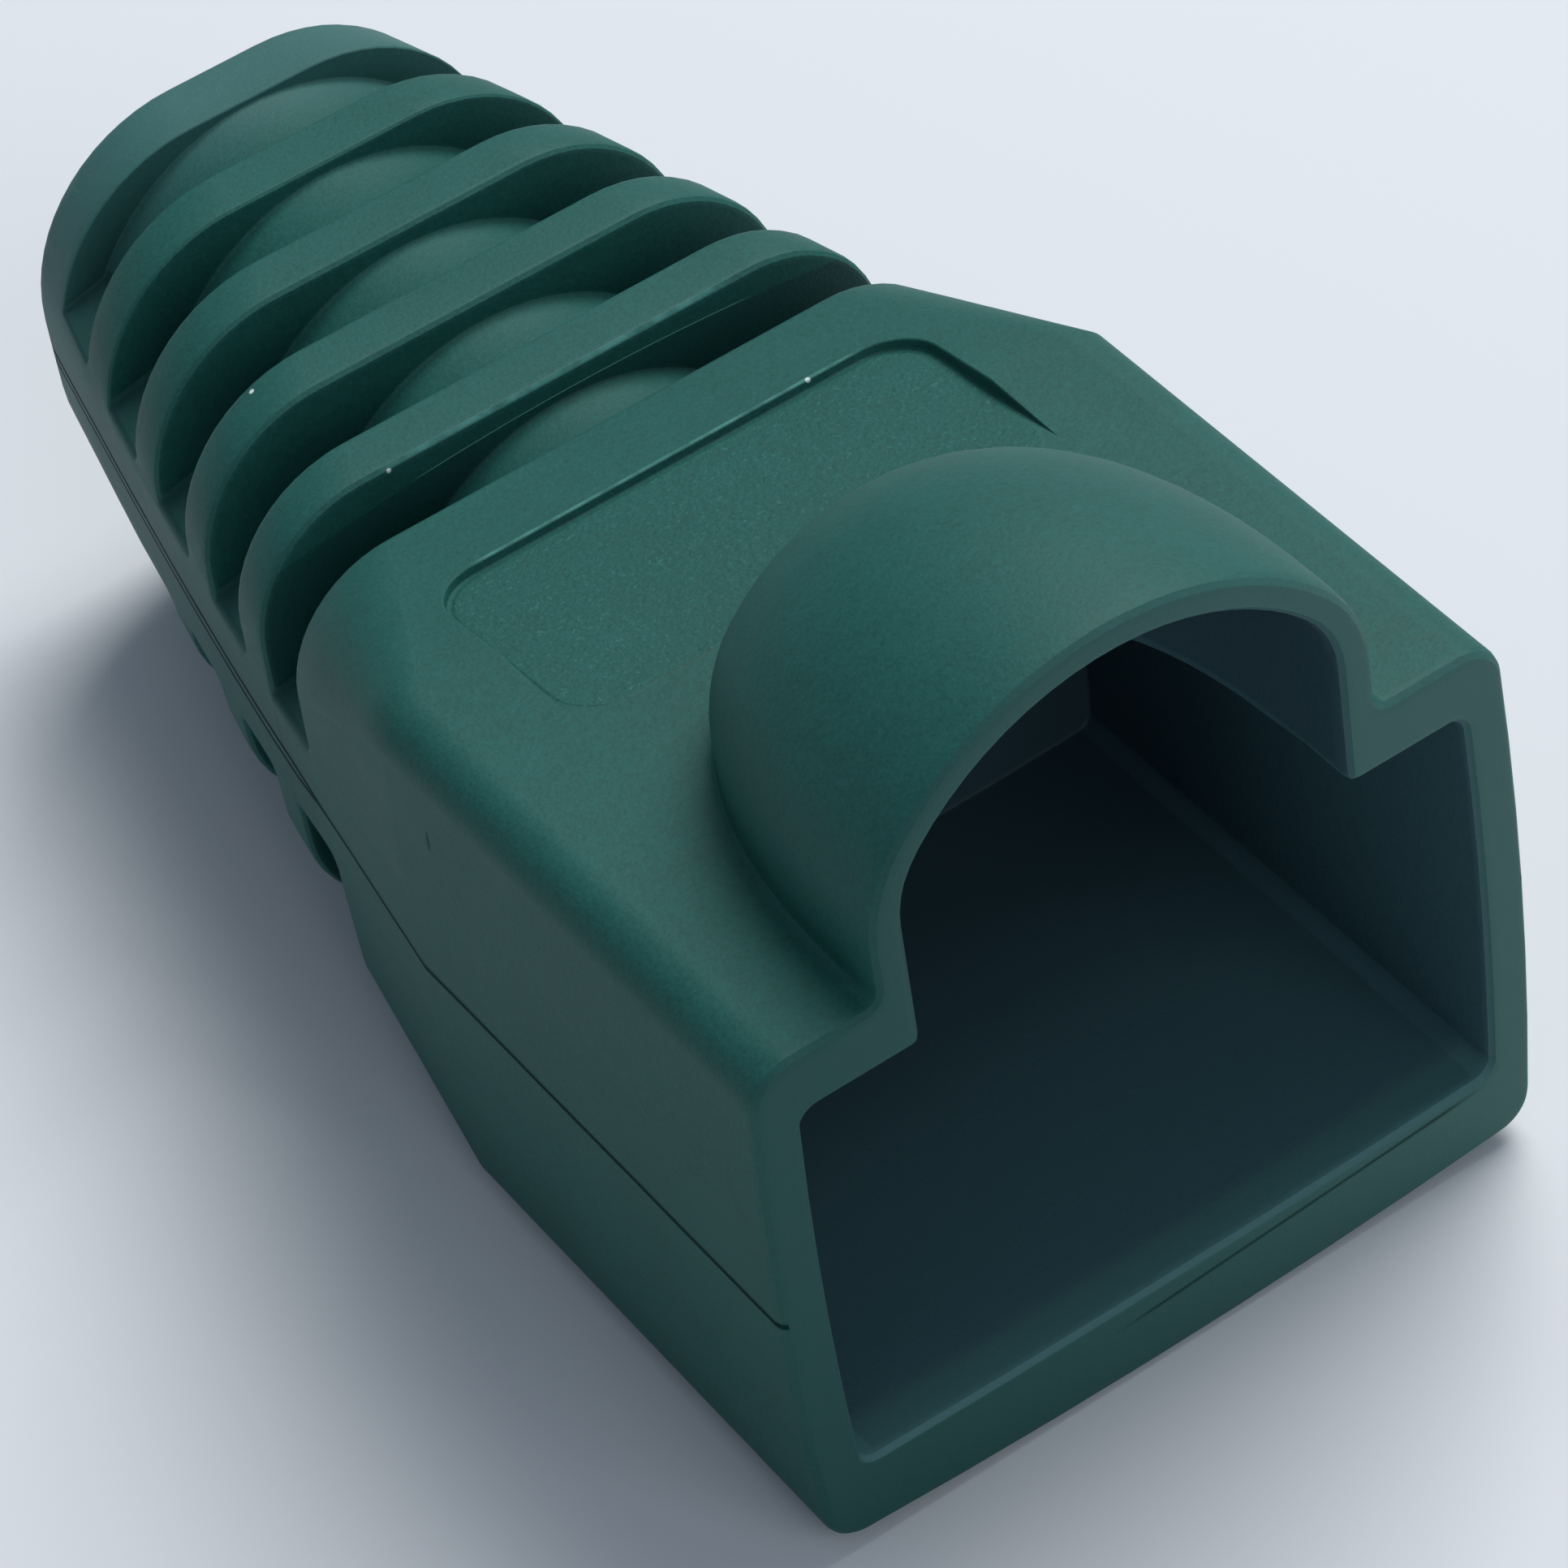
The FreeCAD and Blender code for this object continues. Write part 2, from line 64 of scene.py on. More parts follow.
class Wiring:
    """Adds nodes to a node tree and joins their sockets."""

    def __init__(self, tree: bpy.types.NodeTree) -> None:
        """Start on a tree.

        Args:
            tree: The node tree that the nodes go into.
        """
        self.tree = tree

    def node(self, kind: str, **settings: object) -> bpy.types.Node:
        """Add a node.

        Args:
            kind: Blender's name of the node type.
            settings: Properties of the node and their values.

        Returns:
            The new node.
        """
        node = self.tree.nodes.new(kind)
        for name, value in settings.items():
            setattr(node, name, value)
        return node

    def feed(self, socket: Socket, value: Value) -> None:
        """Give an input socket a value or a link.

        Args:
            socket: The input socket.
            value: A constant, or an output socket to link from.
        """
        if isinstance(value, bpy.types.NodeSocket):
            self.tree.links.new(value, socket)
        else:
            socket.default_value = value

    def math(self, operation: str, *values: Value) -> Socket:
        """Add a math node.

        Args:
            operation: Name of the operation.
            values: One value or socket for each input.

        Returns:
            The node's output.
        """
        node = self.node("ShaderNodeMath", operation=operation)
        for socket, value in zip(node.inputs, values):
            self.feed(socket, value)
        return node.outputs[0]

    def fade(self, value: Value, near: float, far: float) -> Socket:
        """Smooth step that is one up to a near value and zero past a far one.

        Args:
            value: The value that is tested.
            near: Value up to which the result is one.
            far: Value past which the result is zero.

        Returns:
            The socket of the smooth step.
        """
        node = self.node("ShaderNodeMapRange", interpolation_type="SMOOTHSTEP", clamp=True)
        self.feed(node.inputs["Value"], value)
        self.feed(node.inputs["From Min"], near)
        self.feed(node.inputs["From Max"], far)
        self.feed(node.inputs["To Min"], 1.0)
        self.feed(node.inputs["To Max"], 0.0)
        return node.outputs["Result"]

    def rise(self, value: Value, near: float, far: float) -> Socket:
        """Smooth step that is zero up to a near value and one past a far one.

        Args:
            value: The value that is tested.
            near: Value up to which the result is zero.
            far: Value past which the result is one.

        Returns:
            The socket of the smooth step.
        """
        return self.math("SUBTRACT", 1.0, self.fade(value, near, far))

    def every(self, *masks: Value) -> Socket:
        """Multiply masks, so that the result is one only where each of them is.

        Args:
            masks: Two masks or more.

        Returns:
            The product.
        """
        product = masks[0]
        for mask in masks[1:]:
            product = self.math("MULTIPLY", product, mask)
        return product

    def apart(self, value: Value, middle: Value) -> Socket:
        """Distance between two numbers.

        Args:
            value: The first number.
            middle: The second number.

        Returns:
            The distance, which is never negative.
        """
        return self.math("ABSOLUTE", self.math("SUBTRACT", value, middle))

    def weigh(self, first: Value, second: Value, share: float = 0.5) -> Socket:
        """Weighted mean of two values.

        Args:
            first: The value that has the share.
            second: The value that has the rest.
            share: Weight of the first value, from zero to one.

        Returns:
            The mean.
        """
        rest = self.math("MULTIPLY", second, 1.0 - share)
        return self.math("MULTIPLY_ADD", first, share, rest)

    def noise(self, place: Value, pitch: float, detail: float = 2.0) -> Socket:
        """Add a noise texture.

        Args:
            place: Vector that the noise is read at.
            pitch: Size of its waves, in the vector's unit.
            detail: Number of finer octaves.

        Returns:
            The noise value, from zero to one.
        """
        node = self.node("ShaderNodeTexNoise", noise_dimensions="3D")
        self.feed(node.inputs["Vector"], place)
        self.feed(node.inputs["Scale"], 1.0 / pitch)
        self.feed(node.inputs["Detail"], detail)
        return node.outputs["Fac"]

    def stretch(self, place: Value, scale: Sequence[float]) -> Socket:
        """Scale a vector, axis by axis.

        Args:
            place: The vector.
            scale: Factor for each axis.

        Returns:
            The scaled vector.
        """
        node = self.node("ShaderNodeVectorMath", operation="MULTIPLY")
        self.feed(node.inputs[0], place)
        node.inputs[1].default_value = scale
        return node.outputs[0]

    def split(self, place: Value) -> dict[Plane, Socket]:
        """Components of a vector.

        Args:
            place: The vector.

        Returns:
            The three components, by axis.
        """
        node = self.node("ShaderNodeSeparateXYZ")
        self.feed(node.inputs[0], place)
        return {plane: node.outputs[plane.value] for plane in Plane}

    def group(self, tree: bpy.types.NodeTree, **values: Value) -> bpy.types.Node:
        """Add a node group and feed its inputs by name.

        Args:
            tree: The group's tree.
            values: Values by input name.

        Returns:
            The group node.
        """
        node = self.node("ShaderNodeGroup", node_tree=tree)
        for name, value in values.items():
            self.feed(node.inputs[name], value)
        return node


def new_group(
    name: str, inputs: Sequence[str], outputs: Sequence[str]
) -> tuple[Wiring, bpy.types.Node, bpy.types.Node]:
    """Start a shader node group.

    Args:
        name: Name of the group.
        inputs: Names of the inputs, which are all vectors.
        outputs: Names of the outputs, which are all numbers.

    Returns:
        The wiring of the group, its input node and its output node.
    """
    tree = bpy.data.node_groups.new(name, "ShaderNodeTree")
    for title in inputs:
        tree.interface.new_socket(title, in_out="INPUT", socket_type="NodeSocketVector")
    for title in outputs:
        tree.interface.new_socket(title, in_out="OUTPUT", socket_type="NodeSocketFloat")
    wiring = Wiring(tree)
    return wiring, wiring.node("NodeGroupInput"), wiring.node("NodeGroupOutput")


@dataclass(frozen=True)
class MouldedSkin:
    """Grain and mottle that the mould leaves all over a soft plastic part.

    Lengths are in millimetres.
    """

    mottle_pitch: float = 2.2
    swirl_pitch: float = 0.6
    grain_pitch: float = 0.10
    speckle_pitch: float = 0.055
    swirl_share: float = 0.4
    fine_gain: float = 1.7
    broad_gain: float = 0.7
    darkening: float = -0.7

    def group(self) -> bpy.types.NodeTree:
        """Build the node group.

        Returns:
            The group, with the outputs Mottle, Gloss and Height.
        """
        wiring, given, result = new_group(
            "moulded_skin", ("Place",), ("Mottle", "Gloss", "Height")
        )
        place = given.outputs["Place"]
        mottle = wiring.noise(place, self.mottle_pitch, detail=3.0)
        swirl = wiring.noise(place, self.swirl_pitch, detail=3.0)
        grain = wiring.noise(place, self.grain_pitch)
        speckle = wiring.noise(place, self.speckle_pitch, detail=1.0)
        fine = wiring.weigh(grain, speckle)
        broad = wiring.weigh(swirl, mottle, self.swirl_share)
        base = wiring.math("MULTIPLY_ADD", broad, self.broad_gain, self.darkening)
        blend = wiring.math("MULTIPLY_ADD", fine, self.fine_gain, base)
        wiring.feed(result.inputs["Mottle"], blend)
        wiring.feed(result.inputs["Gloss"], wiring.weigh(grain, swirl))
        wiring.feed(result.inputs["Height"], wiring.weigh(swirl, fine))
        return wiring.tree


@dataclass(frozen=True)
class PartingSeam:
    """Witness line where the two halves of the mould met, along both sides, with painted shade
    in a band along the tail's flanks near it.

    Lengths are in millimetres, and the wander rate is in waves for each of them.
    """

    level: float = PARTING_LEVEL
    half_width: float = 0.075
    ridge_half: float = 0.13
    lip_width: float = 0.14
    wander: float = 0.06
    tail_start: float = 0.2
    tail_whole: float = 1.8
    flank_shade_near: float = 0.3
    flank_shade_far: float = 1.5
    line_core: float = 0.45
    line_depth: float = 0.8
    wander_rate: float = 0.35
    side_from: float = 2.9

    def group(self) -> bpy.types.NodeTree:
        """Build the node group.

        Returns:
            The group, with the outputs Line, FlankShade (painted shade along the tail's flanks)
            and Height.
        """
        wiring, given, result = new_group(
            "parting_seam", ("Place", "Facing"), ("Line", "FlankShade", "Height")
        )
        place = given.outputs["Place"]
        parts = wiring.split(place)
        drift = wiring.noise(wiring.stretch(place, (0.0, self.wander_rate, 0.0)), pitch=1.0)
        shift = wiring.math("MULTIPLY_ADD", drift, self.wander, -self.wander / 2)
        above = wiring.math("SUBTRACT", parts[Plane.UP], self.level)
        away = wiring.apart(above, shift)
        sideways = wiring.split(given.outputs["Facing"])[Plane.ACROSS]
        outward = wiring.math("MULTIPLY", sideways, parts[Plane.ACROSS])
        on_side = wiring.math("GREATER_THAN", outward, self.side_from)
        tail = wiring.rise(parts[Plane.ALONG], self.tail_start, self.tail_whole)
        spread = wiring.math("MULTIPLY", tail, self.ridge_half)
        gap = wiring.apart(away, spread)
        line = wiring.every(
            wiring.fade(gap, self.line_core * self.half_width, self.half_width), on_side
        )
        lip = wiring.every(wiring.fade(away, 0.0, self.lip_width), on_side)
        dip = wiring.math("MULTIPLY", line, self.line_depth)
        # Painted shade in a band along the tail's flanks, near the seam.
        flank_shade = wiring.fade(away, self.flank_shade_near, self.flank_shade_far)
        wiring.feed(result.inputs["Line"], line)
        wiring.feed(result.inputs["FlankShade"], wiring.every(flank_shade, tail, on_side))
        wiring.feed(result.inputs["Height"], wiring.math("SUBTRACT", lip, dip))
        return wiring.tree


@dataclass(frozen=True)
class SparkedFloor:
    """Spark-eroded texture on the sloping floor of the label recess.

    Lengths are in millimetres.
    """

    half_width: float = 4.55
    rear: float = -1.3
    front: float = -5.75
    corner: float = 0.9
    low: float = 9.9
    high: float = 10.8
    edge: float = 0.07
    pitch: float = 0.09
    fleck_pitch: float = 0.075
    fleck_from: float = 0.60
    fleck_whole: float = 0.70
    pit_height: float = 0.5
    base_height: float = 0.2

    def group(self) -> bpy.types.NodeTree:
        """Build the node group.

        Returns:
            The group, with the outputs Mask, Fleck and Height.
        """
        wiring, given, result = new_group(
            "sparked_floor", ("Place",), ("Mask", "Fleck", "Height")
        )
        place = given.outputs["Place"]
        parts = wiring.split(place)
        middle = (self.rear + self.front) / 2
        half_length = (self.rear - self.front) / 2
        aside = wiring.math("ABSOLUTE", parts[Plane.ACROSS])
        aside = wiring.math("SUBTRACT", aside, self.half_width - self.corner)
        along = wiring.apart(parts[Plane.ALONG], middle)
        along = wiring.math("SUBTRACT", along, half_length - self.corner)
        aside = wiring.math("MAXIMUM", aside, 0.0)
        along = wiring.math("MAXIMUM", along, 0.0)
        squares = wiring.math(
            "ADD", wiring.math("MULTIPLY", aside, aside), wiring.math("MULTIPLY", along, along)
        )
        out = wiring.math("SUBTRACT", wiring.math("SQRT", squares), self.corner)
        above = wiring.math("GREATER_THAN", parts[Plane.UP], self.low)
        below = wiring.math("LESS_THAN", parts[Plane.UP], self.high)
        mask = wiring.every(wiring.fade(out, -self.edge, 0.0), above, below)
        pits = wiring.noise(place, self.pitch, detail=4.0)
        flecks = wiring.noise(place, self.fleck_pitch)
        flecks = wiring.rise(flecks, self.fleck_from, self.fleck_whole)
        height = wiring.math("MULTIPLY_ADD", pits, self.pit_height, self.base_height)
        wiring.feed(result.inputs["Mask"], mask)
        wiring.feed(result.inputs["Fleck"], wiring.every(flecks, mask))
        wiring.feed(result.inputs["Height"], wiring.every(height, mask))
        return wiring.tree


@dataclass(frozen=True)
class FlashLine:
    """Thin flash on the front wall of the first rib, over the core.

    Lengths are in millimetres.
    """

    station: float = 2.0
    crest: float = 9.62
    centre: float = 0.4
    sag: float = 0.014
    half_length: float = 3.35
    half_width: float = 0.022
    wall_near: float = 0.03
    wall_far: float = 0.05
    end_fade: float = 0.5
    line_core: float = 0.4

    def group(self) -> bpy.types.NodeTree:
        """Build the node group.

        Returns:
            The group, with the outputs Line, Shade and Height.
        """
        wiring, given, result = new_group(
            "flash_line", ("Place",), ("Line", "Shade", "Height")
        )
        parts = wiring.split(given.outputs["Place"])
        across = wiring.math("SUBTRACT", parts[Plane.ACROSS], self.centre)
        drop = wiring.math("MULTIPLY", wiring.math("MULTIPLY", across, across), self.sag)
        level = wiring.math("SUBTRACT", self.crest, drop)
        above = wiring.math("SUBTRACT", parts[Plane.UP], level)
        off_wall = wiring.apart(parts[Plane.ALONG], self.station)
        on_wall = wiring.fade(off_wall, self.wall_near, self.wall_far)
        aside = wiring.math("ABSOLUTE", across)
        reach = wiring.fade(aside, self.half_length - self.end_fade, self.half_length)
        away = wiring.math("ABSOLUTE", above)
        line = wiring.fade(away, self.line_core * self.half_width, self.half_width)
        line = wiring.every(line, on_wall, reach)
        under = wiring.math("LESS_THAN", above, -self.half_width)
        wiring.feed(result.inputs["Line"], line)
        wiring.feed(result.inputs["Shade"], wiring.every(under, on_wall))
        wiring.feed(result.inputs["Height"], line)
        return wiring.tree


@dataclass(frozen=True)
class EdgeGlint:
    """Lighter, broken line along a few outer edges that run across the part.

    Each edge is a station, a bottom and a half length. Lengths are in millimetres.
    """

    edges: tuple[tuple[float, float, float], ...] = ((2.07, 9.7, 3.5), (-1.19, 10.2, 3.9))
    half_width: float = 0.045
    line_core: float = 0.01
    end_fade: float = 0.6
    break_pitch: float = 0.7
    break_from: float = 0.30
    break_whole: float = 0.62

    def group(self) -> bpy.types.NodeTree:
        """Build the node group.

        Returns:
            The group, with the output Line.
        """
        wiring, given, result = new_group("edge_glint", ("Place",), ("Line",))
        place = given.outputs["Place"]
        parts = wiring.split(place)
        aside = wiring.math("ABSOLUTE", parts[Plane.ACROSS])
        line: Value = 0.0
        for station, bottom, half_length in self.edges:
            away = wiring.apart(parts[Plane.ALONG], station)
            here = wiring.fade(away, self.line_core, self.half_width)
            above = wiring.math("GREATER_THAN", parts[Plane.UP], bottom)
            reach = wiring.fade(aside, half_length - self.end_fade, half_length)
            line = wiring.math("MAXIMUM", wiring.every(here, above, reach), line)
        broken = wiring.noise(wiring.stretch(place, (1.0, 0.0, 0.0)), self.break_pitch)
        broken = wiring.rise(broken, self.break_from, self.break_whole)
        wiring.feed(result.inputs["Line"], wiring.every(line, broken))
        return wiring.tree


@dataclass(frozen=True)
class Spots:
    """Small round or long marks at a few places.

    Lengths are in millimetres.
    """

    name: str
    places: tuple[Point, ...]
    reach: Point
    core: float = 0.5
    far: float = 10.0

    def group(self) -> bpy.types.NodeTree:
        """Build the node group.

        Returns:
            The group, with the output Mask.
        """
        wiring, given, result = new_group(self.name, ("Place",), ("Mask",))
        factors = tuple(1.0 / length for length in self.reach)
        place = wiring.stretch(given.outputs["Place"], factors)
        nearest: Value = self.far
        for spot in self.places:
            node = wiring.node("ShaderNodeVectorMath", operation="DISTANCE")
            wiring.feed(node.inputs[0], place)
            node.inputs[1].default_value = [a * b for a, b in zip(spot, factors)]
            nearest = wiring.math("MINIMUM", node.outputs["Value"], nearest)
        wiring.feed(result.inputs["Mask"], wiring.fade(nearest, self.core, 1.0))
        return wiring.tree


@dataclass(frozen=True)
class Room:
    """A hollow of the boot that opens at the mouth. Lengths are in millimetres."""

    half_width: float
    bottom: float
    top: float
    rear: float


@dataclass(frozen=True)
class CavityLightAndShade:
    """Painted light and shade in the plug opening and the hood: a lighter bluish tone on the
    inner walls, darker deeper in and lighter on the floor near the mouth, and a dark line low on
    the mouth's front face.

    Lengths are in millimetres.
    """

    plug_room: Room = Room(half_width=6.35, bottom=1.3, top=9.6, rear=-2.85)
    hood_room: Room = Room(half_width=4.0, bottom=9.2, top=14.6, rear=-6.9)
    front: float = MOUTH_STATION
    rim_depth: float = 0.02
    rim_fade: float = 0.13
    outward_limit: float = 0.05
    level_from: float = 0.1
    level_whole: float = 0.7
    deep_shade_from: float = 3.5
    deep_shade_to: float = 9.0
    lit_depth: float = 0.6
    lit_fade: float = 0.45
    lit_height: float = 2.0
    line_level: float = 1.275
    line_slope: float = 0.0525
    line_ends: tuple[float, float] = (-1.6, 6.1)
    line_half: float = 0.055
    line_core: float = 0.2
    line_fade: float = 1.2
    hood_floor: float = 9.7
    hood_shade_share: float = 0.6

    def group(self) -> bpy.types.NodeTree:
        """Build the node group.

        Returns:
            The group, with the outputs Mask (painted light on the inner walls), DeepShade
            (painted shade deeper in), Lit (painted light on the floor near the mouth) and Line.
        """
        wiring, given, result = new_group(
            "cavity_light_and_shade", ("Place", "Facing"), ("Mask", "DeepShade", "Lit", "Line")
        )
        parts = wiring.split(given.outputs["Place"])
        faces = wiring.split(given.outputs["Facing"])
        aside = wiring.math("ABSOLUTE", parts[Plane.ACROSS])
        outward = wiring.math("MULTIPLY", faces[Plane.ACROSS], parts[Plane.ACROSS])
        inner = wiring.math("LESS_THAN", outward, self.outward_limit)
        low_room = wiring.math("LESS_THAN", parts[Plane.UP], self.plug_room.top)
        down = wiring.math("LESS_THAN", faces[Plane.UP], self.level_from)
        inner = wiring.math("MAXIMUM", wiring.every(inner, down), low_room)
        within: Value = 0.0
        for room in (self.plug_room, self.hood_room):
            here = wiring.every(
                wiring.math("LESS_THAN", aside, room.half_width),
                wiring.math("GREATER_THAN", parts[Plane.UP], room.bottom),
                wiring.math("LESS_THAN", parts[Plane.UP], room.top),
                wiring.math("LESS_THAN", parts[Plane.ALONG], room.rear),
            )
            within = wiring.math("MAXIMUM", here, within)
        rim = self.front + self.rim_depth
        inward = wiring.rise(parts[Plane.ALONG], rim, rim + self.rim_fade)
        # Painted light over the inner walls, from just behind the mouth.
        mask = wiring.every(within, inward, inner)
        # Painted light on the floor near the mouth.
        near = self.front + self.lit_depth
        lit = wiring.every(
            wiring.fade(parts[Plane.ALONG], near, near + self.lit_fade),
            wiring.rise(faces[Plane.UP], self.level_from, self.level_whole),
            wiring.math("LESS_THAN", parts[Plane.UP], self.lit_height),
            wiring.math("LESS_THAN", aside, self.plug_room.half_width),
        )
        level = wiring.math(
            "MULTIPLY_ADD", parts[Plane.ACROSS], self.line_slope, self.line_level
        )
        away = wiring.apart(parts[Plane.UP], level)
        middle = sum(self.line_ends) / 2
        half_length = self.line_ends[1] - middle
        off = wiring.apart(parts[Plane.ACROSS], middle)
        line = wiring.every(
            wiring.fade(away, self.line_core * self.line_half, self.line_half),
            wiring.fade(off, half_length - self.line_fade, half_length),
            wiring.math("LESS_THAN", parts[Plane.ALONG], rim),
        )
        # Painted shade deeper in the cavity and in the hood.
        depth = wiring.rise(
            parts[Plane.ALONG], self.front + self.deep_shade_from, self.front + self.deep_shade_to
        )
        in_hood = wiring.math("GREATER_THAN", parts[Plane.UP], self.hood_floor)
        in_hood = wiring.math("MULTIPLY", in_hood, self.hood_shade_share)
        deep = wiring.every(mask, wiring.math("MAXIMUM", depth, in_hood))
        wiring.feed(result.inputs["Mask"], mask)
        wiring.feed(result.inputs["DeepShade"], deep)
        wiring.feed(result.inputs["Lit"], lit)
        wiring.feed(result.inputs["Line"], line)
        return wiring.tree


@dataclass(frozen=True)
class TailEndLight:
    """Painted light: a paler, greyer tone towards the end of the tail. Lengths are in
    millimetres.
    """

    start: float = 10.6
    whole: float = 12.9

    def group(self) -> bpy.types.NodeTree:
        """Build the node group.

        Returns:
            The group, with the output Mask.
        """
        wiring, given, result = new_group("tail_end_light", ("Place",), ("Mask",))
        along = wiring.split(given.outputs["Place"])[Plane.ALONG]
        # Painted light, rising towards the end of the tail.
        wiring.feed(result.inputs["Mask"], wiring.rise(along, self.start, self.whole))
        return wiring.tree


@dataclass(frozen=True)
class GrooveFootShade:
    """Painted shade on the feet of the grooves, where they stop on the spines.

    Lengths are in millimetres.
    """

    level: float = PARTING_LEVEL
    reach: float = 2.15
    start: float = 0.6
    level_from: float = 0.3
    level_whole: float = 0.8
    outward_limit: float = -0.5

    def group(self) -> bpy.types.NodeTree:
        """Build the node group.

        Returns:
            The group, with the output Mask.
        """
        wiring, given, result = new_group("groove_foot_shade", ("Place", "Facing"), ("Mask",))
        parts = wiring.split(given.outputs["Place"])
        faces = wiring.split(given.outputs["Facing"])
        tilt = wiring.math("ABSOLUTE", faces[Plane.UP])
        away = wiring.apart(parts[Plane.UP], self.level)
        outward = wiring.math("MULTIPLY", faces[Plane.ACROSS], parts[Plane.ACROSS])
        # Painted shade on the groove feet.
        mask = wiring.every(
            wiring.rise(tilt, self.level_from, self.level_whole),
            wiring.math("LESS_THAN", away, self.reach),
            wiring.math("GREATER_THAN", parts[Plane.ALONG], self.start),
            wiring.math("GREATER_THAN", outward, self.outward_limit),
        )
        wiring.feed(result.inputs["Mask"], mask)
        return wiring.tree


@dataclass(frozen=True)
class MouthFaceLight:
    """Front face of the mouth, with painted light: greyer for a painted reflection and paler to
    the right.

    Lengths are in millimetres.
    """

    front: float = -13.25
    half_width: float = 6.9
    facing_whole: float = -0.9
    facing_end: float = -0.4

    def group(self) -> bpy.types.NodeTree:
        """Build the node group.

        Returns:
            The group, with the outputs Mask and Share.
        """
        wiring, given, result = new_group(
            "mouth_face", ("Place", "Facing"), ("Mask", "Share")
        )
        parts = wiring.split(given.outputs["Place"])
        faces = wiring.split(given.outputs["Facing"])
        # Painted light on the mouth's front face, paler to the right.
        mask = wiring.fade(faces[Plane.ALONG], self.facing_whole, self.facing_end)
        here = wiring.math("LESS_THAN", parts[Plane.ALONG], self.front)
        share = wiring.rise(parts[Plane.ACROSS], -self.half_width, self.half_width)
        wiring.feed(result.inputs["Mask"], wiring.every(mask, here))
        wiring.feed(result.inputs["Share"], share)
        return wiring.tree


@dataclass(frozen=True)
class Layer:
    """A tone that is laid over the plastic where a mark's output says."""

    mark: str
    output: str
    share: float
    tone: Colour


@dataclass(frozen=True)
class Relief:
    """A bump that follows a mark's height. Its depth is in millimetres."""

    mark: str
    strength: float
    depth: float


